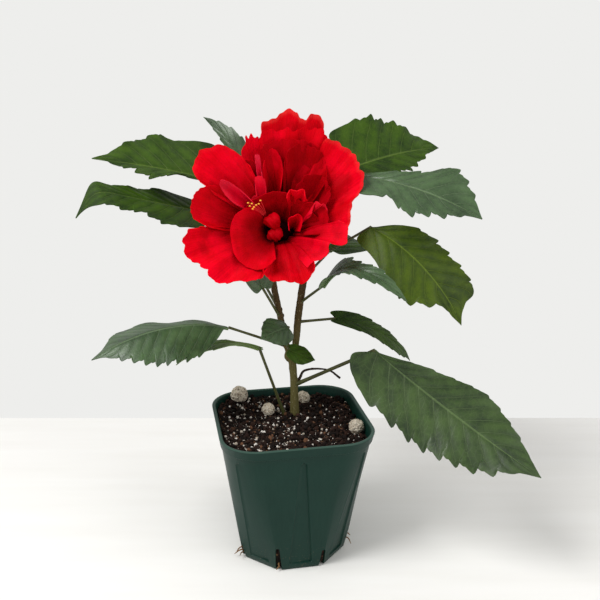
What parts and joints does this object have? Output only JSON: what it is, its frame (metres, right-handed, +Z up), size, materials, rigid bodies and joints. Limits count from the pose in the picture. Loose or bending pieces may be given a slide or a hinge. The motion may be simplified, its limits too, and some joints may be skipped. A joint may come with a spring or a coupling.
{
  "type": "potted hibiscus shrub",
  "caption": "Young double red hibiscus shrub in bloom, with toothed leaves on two boughs, standing in a square green slit pot.",
  "frame": {"origin": "centre of the pot's flat underside", "axes": "+Z up, -Y towards the viewer of the picture, +X to the viewer's right"},
  "size_m": [0.2531, 0.1649, 0.2689],
  "materials": {
    "pot": "dark green moulded plastic, slightly glossy",
    "soil": "moist bark and peat mix with white grit",
    "pellet": "porous beige fertiliser ball",
    "bark": "young olive brown bark",
    "leaf": "satin leaf",
    "petal": "soft petal",
    "calyx": "matt green"
  },
  "bodies": {
    "root": {"pot": "pot", "soil": "soil", "trunk": "bark", "bough_left": "bark", "bough_right": "bark", "bare_twig": "bark", "bloom": "petal", "bloom_stalk": "calyx", "pellet_1": "pellet", "pellet_2": "pellet", "pellet_3": "pellet", "pellet_4": "pellet", "leaf_upper_left": "leaf", "leaf_middle_left": "leaf", "leaf_top_left": "leaf", "leaf_top_right": "leaf", "leaf_upper_right": "leaf", "leaf_middle_right": "leaf", "leaf_inner_right": "leaf", "leaf_lower_right": "leaf", "leaf_front_right": "leaf", "leaf_lower_left": "leaf", "leaf_basal": "leaf", "leaf_fork_front": "leaf", "leaf_fork_small": "leaf", "leaf_under_bloom": "leaf", "leaf_back_left": "leaf", "leaf_back_right": "leaf", "leaf_back_top": "leaf", "leaf_back_low_right": "leaf", "leaf_back_low_left": "leaf"}
  },
  "joints": []
}
